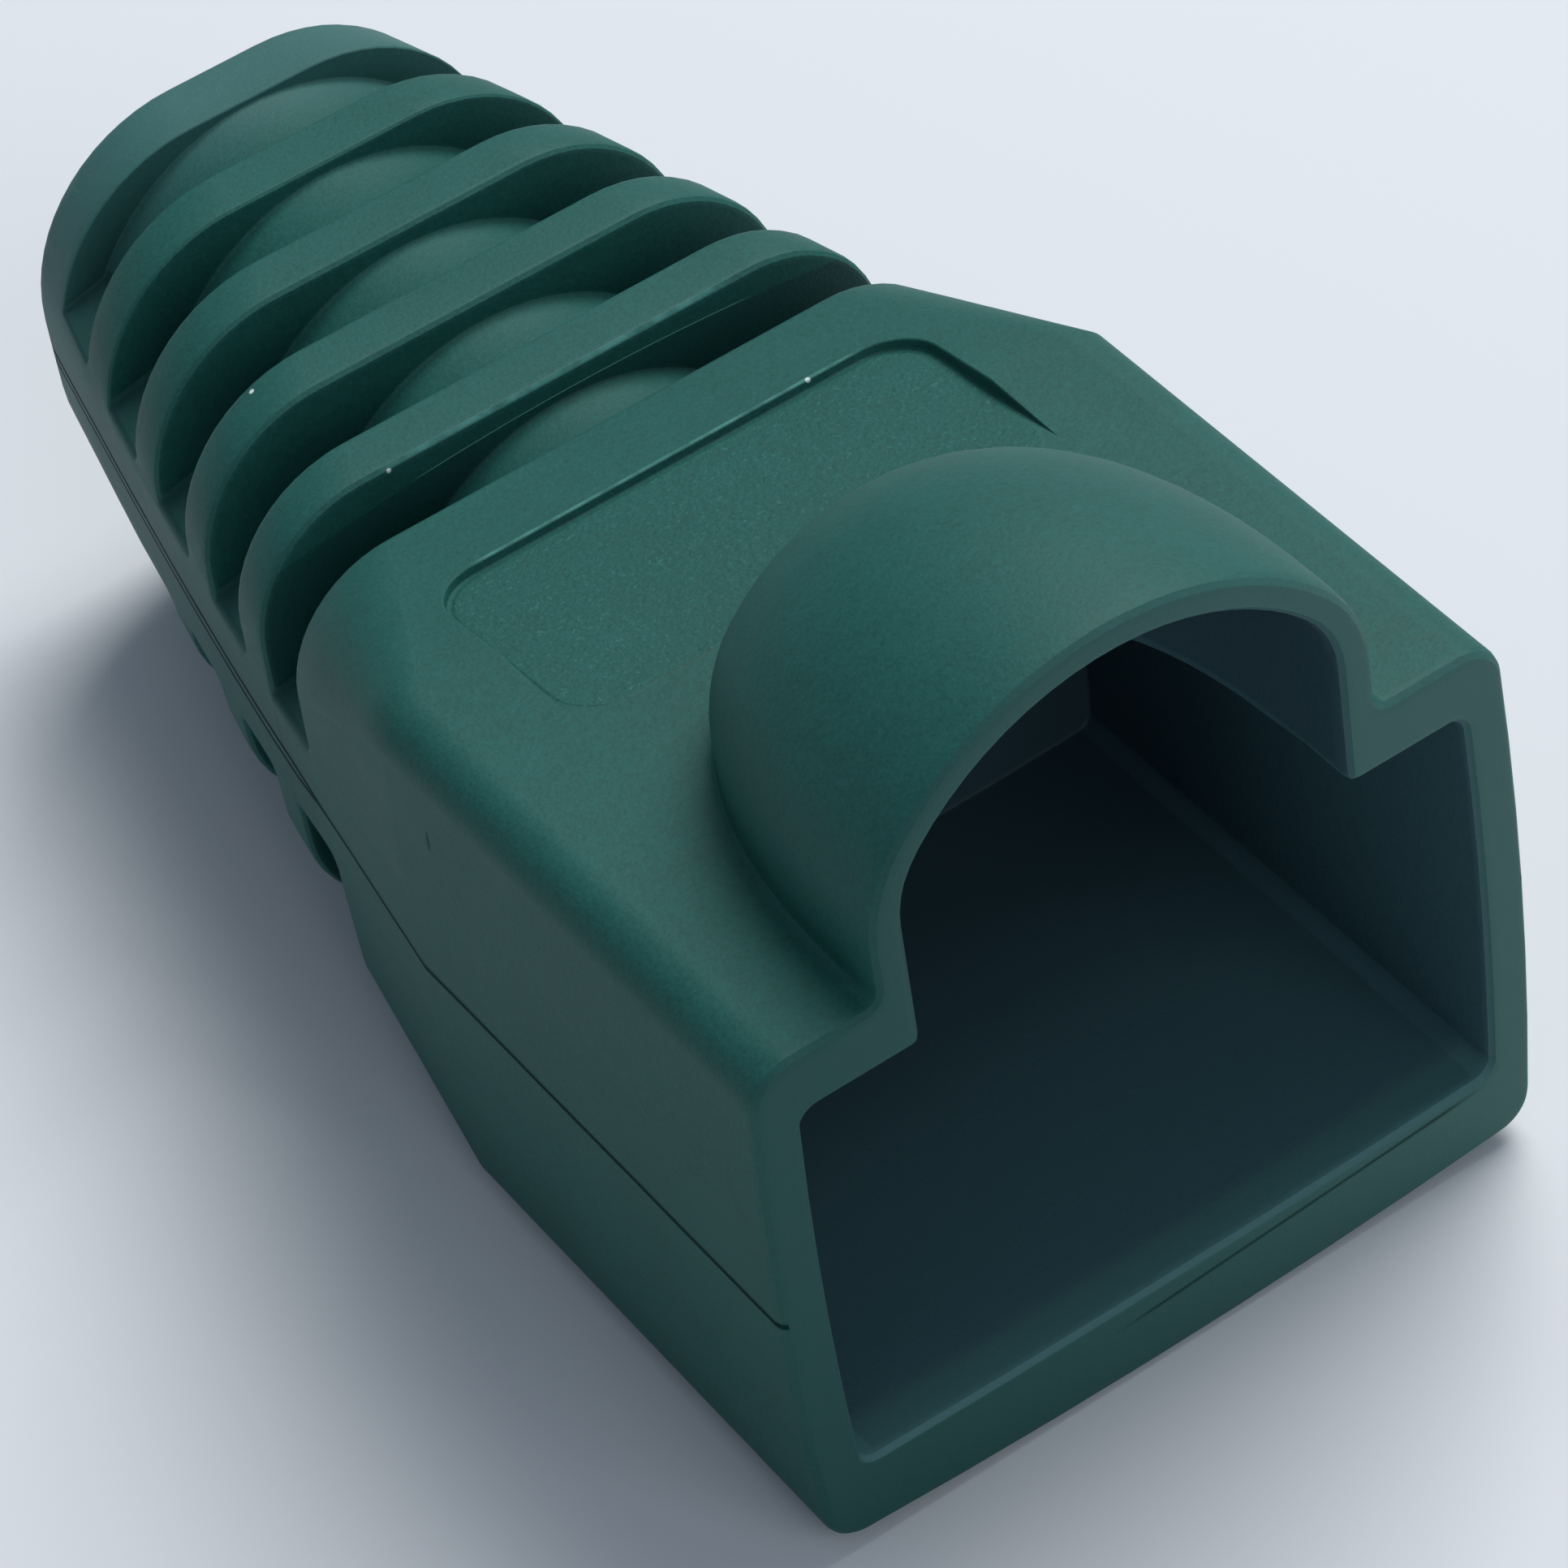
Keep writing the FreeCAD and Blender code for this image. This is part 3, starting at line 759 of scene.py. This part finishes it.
@dataclass(frozen=True)
class SoftPlastic:
    """Finish of the boot's soft satin plastic.

    Layers go from the lowest to the topmost; several are painted light and shade.
    Each dark line is a mark, its output and its share.
    """

    deep: Colour = (0.007, 0.066, 0.055)
    fresh: Colour = (0.014, 0.112, 0.096)
    # Dark tone of the seam, nick and mouth lines, also laid as painted shade under the flash.
    line_and_shade_tone: Colour = (0.002, 0.018, 0.018)
    dust_tone: Colour = (0.62, 0.70, 0.68)
    # Painted light on the mouth's front face: darker at the left, paler and greyer at the right.
    mouth_left_tone: Colour = (0.012, 0.066, 0.062)
    mouth_right_tone: Colour = (0.048, 0.124, 0.114)
    mouth_share: float = 0.75
    under: tuple[Layer, ...] = (
        # Painted light, paler and greyer towards the end of the tail.
        Layer("end_light", "Mask", 0.5, (0.066, 0.162, 0.160)),
        # Painted shade along the tail's flanks, near the seam.
        Layer("seam", "FlankShade", 0.3, (0.006, 0.045, 0.056)),
        # Painted shade on the feet of the grooves.
        Layer("foot_shade", "Mask", 0.65, (0.004, 0.030, 0.033)),
    )
    over: tuple[Layer, ...] = (
        # Painted light and shade inside: a lighter bluish tone, darker deeper in, lighter on the
        # floor near the mouth.
        Layer("inner", "Mask", 0.85, (0.058, 0.128, 0.150)),
        Layer("inner", "DeepShade", 0.75, (0.022, 0.048, 0.064)),
        Layer("inner", "Lit", 0.9, (0.060, 0.165, 0.165)),
        # Painted shade on the first rib's wall, under the flash.
        Layer("flash", "Shade", 0.35, line_and_shade_tone),
        Layer("flash", "Line", 0.8, (0.120, 0.330, 0.310)),
        Layer("floor", "Fleck", 0.4, (0.040, 0.190, 0.165)),
        Layer("glint", "Line", 0.75, (0.070, 0.250, 0.225)),
    )
    dark_lines: tuple[tuple[str, str, float], ...] = (
        ("seam", "Line", 0.9), ("inner", "Line", 0.7), ("nick", "Mask", 0.5),
    )
    reliefs: tuple[Relief, ...] = (
        Relief("skin", 0.75, 0.024),
        Relief("floor", 0.85, 0.045),
        Relief("seam", 0.8, 0.04),
        Relief("flash", 0.8, 0.03),
    )
    roughness: float = 0.54
    roughness_spread: float = 0.14
    floor_roughness: float = 0.05
    specular: float = 0.27
    skin: MouldedSkin = field(default_factory=MouldedSkin)
    seam: PartingSeam = field(default_factory=PartingSeam)
    floor: SparkedFloor = field(default_factory=SparkedFloor)
    flash: FlashLine = field(default_factory=FlashLine)
    glint: EdgeGlint = field(default_factory=EdgeGlint)
    dust: Spots = field(
        default_factory=lambda: Spots(
            "dust_specks",
            ((-3.81, 5.42, 9.70), (-3.26, 2.0, 9.91), (2.71, -1.21, 10.33)),
            (0.06, 0.06, 0.06),
        )
    )
    nick: Spots = field(
        default_factory=lambda: Spots("side_nick", ((-6.91, -4.61, 9.0),), (0.3, 0.06, 0.24))
    )
    inner: CavityLightAndShade = field(default_factory=CavityLightAndShade)
    tail_end_light: TailEndLight = field(default_factory=TailEndLight)
    mouth: MouthFaceLight = field(default_factory=MouthFaceLight)
    foot_shade: GrooveFootShade = field(default_factory=GrooveFootShade)

    def material(self) -> bpy.types.Material:
        """Build the material.

        Returns:
            The finished material.
        """
        material = bpy.data.materials.new("boot_plastic")
        material.use_nodes = True
        material.diffuse_color = (*self.fresh, 1.0)
        wiring = Wiring(material.node_tree)
        shader = material.node_tree.nodes["Principled BSDF"]
        where = wiring.node("ShaderNodeTexCoord").outputs["Object"]
        facing = wiring.node("ShaderNodeNewGeometry").outputs["Normal"]
        place = wiring.stretch(where, (1.0 / MILLIMETRE,) * 3)
        marks = {
            "skin": wiring.group(self.skin.group(), Place=place),
            "seam": wiring.group(self.seam.group(), Place=place, Facing=facing),
            "floor": wiring.group(self.floor.group(), Place=place),
            "flash": wiring.group(self.flash.group(), Place=place),
            "glint": wiring.group(self.glint.group(), Place=place),
            "dust": wiring.group(self.dust.group(), Place=place),
            "nick": wiring.group(self.nick.group(), Place=place),
            # Painted light and shade inside the mouth and the hood.
            "inner": wiring.group(self.inner.group(), Place=place, Facing=facing),
            # Painted light towards the end of the tail.
            "end_light": wiring.group(self.tail_end_light.group(), Place=place),
            # Painted light and painted reflection on the mouth's front face.
            "mouth": wiring.group(self.mouth.group(), Place=place, Facing=facing),
            # Painted shade on the groove feet.
            "foot_shade": wiring.group(self.foot_shade.group(), Place=place, Facing=facing),
        }
        self._colour(wiring, shader, marks)
        self._relief(wiring, shader, marks)
        return material

    def _colour(
        self, wiring: Wiring, shader: bpy.types.Node, marks: dict[str, bpy.types.Node]
    ) -> None:
        """Feed the shader's colour and gloss.

        Args:
            wiring: The material's wiring.
            shader: The Principled shader.
            marks: Group nodes by name.
        """
        skin = marks["skin"].outputs
        colour = self._mix(wiring, skin["Mottle"], self.deep, self.fresh)
        colour = self._lay(wiring, colour, marks, self.under)
        # Painted light and painted reflection on the mouth's front face.
        mouth = marks["mouth"].outputs
        rim = self._mix(wiring, mouth["Share"], self.mouth_left_tone, self.mouth_right_tone)
        rim_light = wiring.math("MULTIPLY", mouth["Mask"], self.mouth_share)
        colour = self._mix(wiring, rim_light, colour, rim)
        colour = self._lay(wiring, colour, marks, self.over)
        dark: Value = 0.0
        for mark, output, share in self.dark_lines:
            line = wiring.math("MULTIPLY", marks[mark].outputs[output], share)
            dark = wiring.math("MAXIMUM", line, dark)
        colour = self._mix(wiring, dark, colour, self.line_and_shade_tone)
        colour = self._mix(wiring, marks["dust"].outputs["Mask"], colour, self.dust_tone)
        wiring.feed(shader.inputs["Base Color"], colour)
        dull = wiring.math("MULTIPLY_ADD", dark, -1.0, 1.0)
        gleam = wiring.math("MULTIPLY", dull, self.specular)
        wiring.feed(shader.inputs["Specular IOR Level"], gleam)
        rough = wiring.math("MULTIPLY_ADD", skin["Gloss"], self.roughness_spread, self.roughness)
        rough = wiring.math(
            "MULTIPLY_ADD", marks["floor"].outputs["Mask"], self.floor_roughness, rough
        )
        wiring.feed(shader.inputs["Roughness"], rough)

    def _lay(
        self,
        wiring: Wiring,
        colour: Value,
        marks: dict[str, bpy.types.Node],
        layers: Sequence[Layer],
    ) -> Socket:
        """Lay tones over a colour, one after the other.

        Args:
            wiring: The material's wiring.
            colour: The colour underneath.
            marks: Group nodes by name.
            layers: The tones, from the lowest to the topmost.

        Returns:
            The colour with all of them.
        """
        for layer in layers:
            mask = marks[layer.mark].outputs[layer.output]
            factor = wiring.math("MULTIPLY", mask, layer.share)
            colour = self._mix(wiring, factor, colour, layer.tone)
        return colour

    def _relief(
        self, wiring: Wiring, shader: bpy.types.Node, marks: dict[str, bpy.types.Node]
    ) -> None:
        """Feed the shader's normal, one bump after the other.

        Args:
            wiring: The material's wiring.
            shader: The Principled shader.
            marks: Group nodes by name.
        """
        dent = wiring.math("MULTIPLY", marks["nick"].outputs["Mask"], -1.0)
        heights = {relief.mark: marks[relief.mark].outputs["Height"] for relief in self.reliefs}
        heights["flash"] = wiring.math("ADD", heights["flash"], dent)
        normal = None
        for relief in self.reliefs:
            bump = wiring.node("ShaderNodeBump")
            bump.inputs["Strength"].default_value = relief.strength
            bump.inputs["Distance"].default_value = relief.depth * MILLIMETRE
            wiring.feed(bump.inputs["Height"], heights[relief.mark])
            if normal is not None:
                wiring.feed(bump.inputs["Normal"], normal)
            normal = bump.outputs["Normal"]
        wiring.feed(shader.inputs["Normal"], normal)

    def _mix(self, wiring: Wiring, factor: Value, first: Value, second: Value) -> Socket:
        """Mix two colours.

        Args:
            wiring: The material's wiring.
            factor: Share of the second colour.
            first: Colour or socket at factor zero.
            second: Colour or socket at factor one.

        Returns:
            The mixed colour.
        """
        node = wiring.node("ShaderNodeMix", data_type="RGBA")
        wiring.feed(node.inputs[0], factor)
        for socket, value in zip((node.inputs[6], node.inputs[7]), (first, second)):
            if isinstance(value, bpy.types.NodeSocket):
                wiring.feed(socket, value)
            else:
                socket.default_value = (*value, 1.0)
        return node.outputs[2]


def select_only(thing: bpy.types.Object) -> None:
    """Make one object the only selected and the active one.

    Args:
        thing: The object.
    """
    bpy.ops.object.select_all(action="DESELECT")
    thing.select_set(True)
    bpy.context.view_layer.objects.active = thing


def apply_modifier(thing: bpy.types.Object, kind: str, **settings: object) -> None:
    """Add a modifier to an object and apply it at once.

    Args:
        thing: The object, which is selected and active.
        kind: Blender's name of the modifier type.
        settings: Properties of the modifier and their values.
    """
    modifier = thing.modifiers.new(kind.lower(), kind)
    for name, value in settings.items():
        setattr(modifier, name, value)
    bpy.ops.object.modifier_apply(modifier=modifier.name)


@dataclass(frozen=True)
class EdgeZone:
    """A box in which edges get radii of their own. Lengths are in millimetres."""

    low: Point
    high: Point
    radius: float
    hollow_radius: float

    def holds(self, point: Vector) -> bool:
        """Whether a point lies in the zone.

        Args:
            point: The point.

        Returns:
            True inside the zone.
        """
        return all(a <= c <= b for a, c, b in zip(self.low, point, self.high))


@dataclass
class Moulding:
    """The boot's one piece, with the soft edges that come out of the mould.

    Lengths are in millimetres.
    """

    node: str = "boot"
    slot: str = "boot_plastic"
    flat_angle: float = 0.4
    edge_angle: float = 33.0
    edge_radius: float = 0.18
    hollow_radius: float = 0.09
    edge_segments: int = 3
    crease_angle: float = 25.0
    weld: float = 0.03
    core_radius: float = 3.92
    depth_share: float = 0.42
    tail_ends: tuple[float, float] = (0.6, 13.5)
    tail_heights: tuple[float, float] = (4.66, 3.98)
    zones: tuple[EdgeZone, ...] = (
        EdgeZone((-4.8, -7.9, 9.5), (4.8, -0.8, 10.76), 0.05, 0.04),
        EdgeZone((-4.6, -13.6, 10.7), (4.6, -5.8, 10.85), 0.2, 0.2),
        EdgeZone((-4.3, -13.2, 9.3), (4.3, -5.5, 9.7), 0.08, 0.05),
        EdgeZone((-4.3, -3.0, 1.3), (4.3, -2.8, 9.5), 0.05, 0.05),
        EdgeZone((-8.0, -13.6, 0.0), (8.0, -13.45, 16.0), 0.22, 0.2),
        EdgeZone((-6.2, -13.6, 1.0), (6.2, -2.7, 1.7), 0.22, 0.04),
    )
    roots: tuple[tuple[int, float], ...] = ((1, MOUTH_STATION), (2, 10.75))
    root_room: float = 0.28
    root_reach: float = 0.5
    tolerance: float = 0.001
    start_margin: float = 0.1
    end_margin: float = 0.2
    normal_weight: int = 50
    flank_low: Point = (5.9, -3.7, 0.0)
    flank_high: Point = (7.0, 0.7, 2.6)
    flank_angle: float = 0.8
    tail_drift: float = 0.22
    tail_reach: float = 13.0
    finish: SoftPlastic = field(default_factory=SoftPlastic)

    def build(self) -> bpy.types.Object:
        """Model and dress the moulding.

        Returns:
            The finished piece.
        """
        piece = self.copy_solid()
        self.scale(piece, 1.0 / MILLIMETRE)
        self.make_room(piece)
        self.merge_flanks(piece)
        self.soften(piece)
        self.set_tail(piece)
        self.scale(piece, MILLIMETRE)
        self.smooth(piece)
        self.dress(piece)
        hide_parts(self.node)
        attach(piece, "root")
        return piece

    def copy_solid(self) -> bpy.types.Object:
        """Copy the solid's mesh and merge its loose triangles.

        Returns:
            The copy, as an object of its own.
        """
        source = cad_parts[self.node]
        piece = bpy.data.objects.new("boot_moulding", source.data.copy())
        bpy.context.scene.collection.objects.link(piece)
        piece.data.materials.clear()
        select_only(piece)
        bpy.ops.object.mode_set(mode="EDIT")
        bpy.ops.mesh.select_all(action="SELECT")
        bpy.ops.mesh.remove_doubles(threshold=self.weld * MILLIMETRE)
        bpy.ops.object.mode_set(mode="OBJECT")
        return piece

    def scale(self, piece: bpy.types.Object, factor: float) -> None:
        """Scale the mesh about the origin.

        Args:
            piece: Not used; the operators act on the selected, active object.
            factor: Scale factor.
        """
        bpy.ops.object.mode_set(mode="EDIT")
        bpy.ops.mesh.select_all(action="SELECT")
        bpy.ops.transform.resize(value=(factor,) * 3, center_override=(0.0, 0.0, 0.0))
        bpy.ops.object.mode_set(mode="OBJECT")

    def make_room(self, piece: bpy.types.Object) -> None:
        """Draw facet corners back from the mouth and the hood's foot.

        Args:
            piece: The piece, in millimetres.
        """
        squeeze = (self.root_reach - self.root_room) / self.root_reach
        for axis, level in self.roots:
            for vertex in piece.data.vertices:
                behind = vertex.co[axis] - level
                if self.tolerance < behind < self.root_reach:
                    vertex.co[axis] = level + self.root_room + behind * squeeze
        piece.data.update()

    def merge_flanks(self, piece: bpy.types.Object) -> None:
        """Merge the narrow facets low on the flanks, where the box gives way to the tail.

        Args:
            piece: The piece, which is selected and active, in millimetres.
        """
        bpy.ops.object.mode_set(mode="EDIT")
        bpy.ops.mesh.select_mode(type="FACE")
        bpy.ops.mesh.select_all(action="DESELECT")
        bpy.ops.object.mode_set(mode="OBJECT")
        mesh = piece.data
        for face in mesh.polygons:
            corners = (mesh.vertices[index].co for index in face.vertices)
            face.select = all(
                low < value < high
                for corner in corners
                for low, value, high in zip(
                    self.flank_low, (abs(corner.x), corner.y, corner.z), self.flank_high
                )
            )
        bpy.ops.object.mode_set(mode="EDIT")
        bpy.ops.mesh.dissolve_limited(angle_limit=math.radians(self.flank_angle))
        bpy.ops.mesh.select_mode(type="VERT")
        bpy.ops.object.mode_set(mode="OBJECT")

    def soften(self, piece: bpy.types.Object) -> None:
        """Round every edge and corner a little.

        Args:
            piece: The piece, in millimetres.
        """
        bpy.ops.object.mode_set(mode="EDIT")
        bpy.ops.mesh.select_all(action="SELECT")
        bpy.ops.mesh.dissolve_limited(angle_limit=math.radians(self.flat_angle))
        bpy.ops.mesh.select_mode(type="EDGE")
        bpy.ops.mesh.select_all(action="DESELECT")
        bpy.ops.mesh.edges_select_sharp(sharpness=math.radians(self.edge_angle))
        bpy.ops.object.mode_set(mode="OBJECT")
        self.weigh_edges(piece)
        apply_modifier(
            piece,
            "BEVEL",
            width=self.widest(),
            segments=self.edge_segments,
            limit_method="WEIGHT",
            use_clamp_overlap=False,
            loop_slide=False,
            miter_outer="MITER_ARC",
        )

    def widest(self) -> float:
        """Largest radius that an edge gets."""
        return max(self.edge_radius, *(zone.radius for zone in self.zones))

    def groove_radius(self, station: float, radius: float) -> float:
        """Radius of a groove's edge, smaller where the groove is shallow.

        Args:
            station: Place of the edge along the tail.
            radius: Radius where there is room for it.

        Returns:
            The radius that fits.
        """
        share = (station - self.tail_ends[0]) / (self.tail_ends[1] - self.tail_ends[0])
        top = self.tail_heights[0] + share * (self.tail_heights[1] - self.tail_heights[0])
        return min(radius, self.depth_share * (top - self.core_radius))

    def hollow_edges(self, mesh: bpy.types.Mesh) -> set[int]:
        """Find the edges whose two faces look towards each other.

        Args:
            mesh: The mesh.

        Returns:
            Indices of the hollow edges.
        """
        sides: dict[int, list[tuple[Vector, Vector]]] = {}
        for face in mesh.polygons:
            for index in face.loop_indices:
                loop = mesh.loops[index]
                start = loop.vertex_index
                end = sum(mesh.edges[loop.edge_index].vertices) - start
                step = mesh.vertices[end].co - mesh.vertices[start].co
                sides.setdefault(loop.edge_index, []).append((face.normal.copy(), step))
        pairs = ((index, pair) for index, pair in sides.items() if len(pair) == 2)
        return {
            index for index, (first, second) in pairs
            if first[0].dot(second[0].cross(second[1])) > 0.0
        }

    def weigh_edges(self, piece: bpy.types.Object) -> None:
        """Give each selected edge the weight of its radius.

        Args:
            piece: The piece, with its sharp edges selected.
        """
        mesh = piece.data
        widest = self.widest()
        hollow = self.hollow_edges(mesh)
        first = self.tail_ends[0] - self.start_margin
        last = self.tail_ends[1] - self.end_margin
        weights = mesh.attributes.new("bevel_weight_edge", "FLOAT", "EDGE")
        for edge in mesh.edges:
            if not edge.select:
                continue
            ends = [mesh.vertices[index].co for index in edge.vertices]
            inside = edge.index in hollow
            radius = self.hollow_radius if inside else self.edge_radius
            for zone in self.zones:
                if all(zone.holds(point) for point in ends):
                    radius = zone.hollow_radius if inside else zone.radius
            station = (ends[0].y + ends[1].y) / 2
            if first < station < last:
                radius = self.groove_radius(station, radius)
            weights.data[edge.index].value = radius / widest

    def smooth(self, piece: bpy.types.Object) -> None:
        """Shade the faces so that flat ones stay flat.

        Args:
            piece: The piece, which is selected and active.
        """
        bpy.ops.object.shade_smooth_by_angle(angle=math.radians(self.crease_angle))
        apply_modifier(
            piece,
            "WEIGHTED_NORMAL",
            mode="FACE_AREA",
            weight=self.normal_weight,
            keep_sharp=True,
        )

    def set_tail(self, piece: bpy.types.Object) -> None:
        """Let the soft tail lean a little to one side, by a smooth step along it.

        Args:
            piece: The piece, in millimetres.
        """
        end = max(vertex.co.y for vertex in piece.data.vertices)
        for vertex in piece.data.vertices:
            share = min(max(1.0 - (end - vertex.co.y) / self.tail_reach, 0.0), 1.0)
            vertex.co.x += self.tail_drift * share * share * (3.0 - 2.0 * share)
        piece.data.update()

    def dress(self, piece: bpy.types.Object) -> None:
        """Give the piece its material.

        Args:
            piece: The piece.
        """
        piece.data.materials.append(self.finish.material())


@dataclass(frozen=True)
class Lamp:
    """A soft rectangular lamp. Lengths are in metres."""

    name: str
    place: Point
    size: tuple[float, float]
    power: float
    colour: Colour = (1.0, 1.0, 1.0)
    aim: Point = (0.0, 0.0, 0.006)

    def build(self) -> bpy.types.Object:
        """Add the lamp.

        Returns:
            The lamp's object.
        """
        data = bpy.data.lights.new(self.name, "AREA")
        data.shape = "RECTANGLE"
        data.size, data.size_y = self.size
        data.energy = self.power
        data.color = self.colour
        lamp = bpy.data.objects.new(self.name, data)
        bpy.context.scene.collection.objects.link(lamp)
        lamp.location = self.place
        direction = Vector(self.aim) - Vector(self.place)
        lamp.rotation_euler = direction.to_track_quat("-Z", "Y").to_euler()
        return lamp


@dataclass
class Studio:
    """Pale floor, soft light and the camera."""

    floor_size: float = 1.2
    floor_colour: Colour = (0.70, 0.72, 0.74)
    floor_roughness: float = 0.9
    floor_specular: float = 0.1
    world_colour: Colour = (0.185, 0.225, 0.275)
    lamps: tuple[Lamp, ...] = (
        Lamp("key_lamp", (0.21, 0.095, 0.35), (0.26, 0.26), 1.78),
        Lamp("fill_lamp", (0.02, -0.38, 0.24), (0.30, 0.30), 0.45, (0.93, 0.93, 1.0)),
    )
    camera_place: Point = (-0.03626604, -0.07186415, 0.07954971)
    camera_aim: Point = (0.00002293, -0.00315645, 0.00454063)
    camera_roll: float = -9.88809
    camera_lens: float = 154.0991
    camera_sensor: float = 36.0
    camera_range: tuple[float, float] = (0.005, 5.0)

    def build(self) -> None:
        """Add the floor, the light and the camera."""
        self.add_floor()
        self.add_world()
        for lamp in self.lamps:
            lamp.build()
        self.add_camera()

    def add_floor(self) -> None:
        """Add the floor that the boot stands on."""
        bpy.ops.object.select_all(action="DESELECT")
        bpy.ops.mesh.primitive_plane_add(size=self.floor_size, location=(0.0, 0.0, 0.0))
        floor = bpy.context.object
        floor.name = "studio_floor"
        material = bpy.data.materials.new("pale_floor")
        material.use_nodes = True
        shader = material.node_tree.nodes["Principled BSDF"]
        shader.inputs["Base Color"].default_value = (*self.floor_colour, 1.0)
        shader.inputs["Roughness"].default_value = self.floor_roughness
        shader.inputs["Specular IOR Level"].default_value = self.floor_specular
        floor.data.materials.append(material)

    def add_world(self) -> None:
        """Light the scene from all round."""
        world = bpy.data.worlds.new("studio_world")
        bpy.context.scene.world = world
        world.use_nodes = True
        sky = world.node_tree.nodes["Background"]
        sky.inputs["Color"].default_value = (*self.world_colour, 1.0)
        sky.inputs["Strength"].default_value = 1.0

    def add_camera(self) -> None:
        """Add the camera at the photograph's viewing angle."""
        data = bpy.data.cameras.new("view_camera")
        data.sensor_width = self.camera_sensor
        data.lens = self.camera_lens
        data.clip_start, data.clip_end = self.camera_range
        camera = bpy.data.objects.new("view_camera", data)
        bpy.context.scene.collection.objects.link(camera)
        direction = Vector(self.camera_aim) - Vector(self.camera_place)
        level = direction.to_track_quat("-Z", "Y").to_matrix().to_4x4()
        roll = Matrix.Rotation(math.radians(self.camera_roll), 4, "Z")
        camera.matrix_world = Matrix.Translation(self.camera_place) @ level @ roll
        bpy.context.scene.camera = camera


def main() -> None:
    """Build the boot and its studio, and report the pieces."""
    logging.basicConfig(level=logging.INFO, format="%(name)s: %(message)s")
    builders: tuple[tuple[str, Callable[[], object]], ...] = (
        ("studio", Studio().build),
        ("moulding", Moulding().build),
    )
    for title, build in builders:
        made = build()
        faces = len(made.data.polygons) if isinstance(made, bpy.types.Object) else 0
        LOG.info("built the %s, %d faces", title, faces)
    bpy.context.scene.view_settings.view_transform = "Standard"
    bpy.context.view_layer.update()


if __name__ == "__main__":
    main()
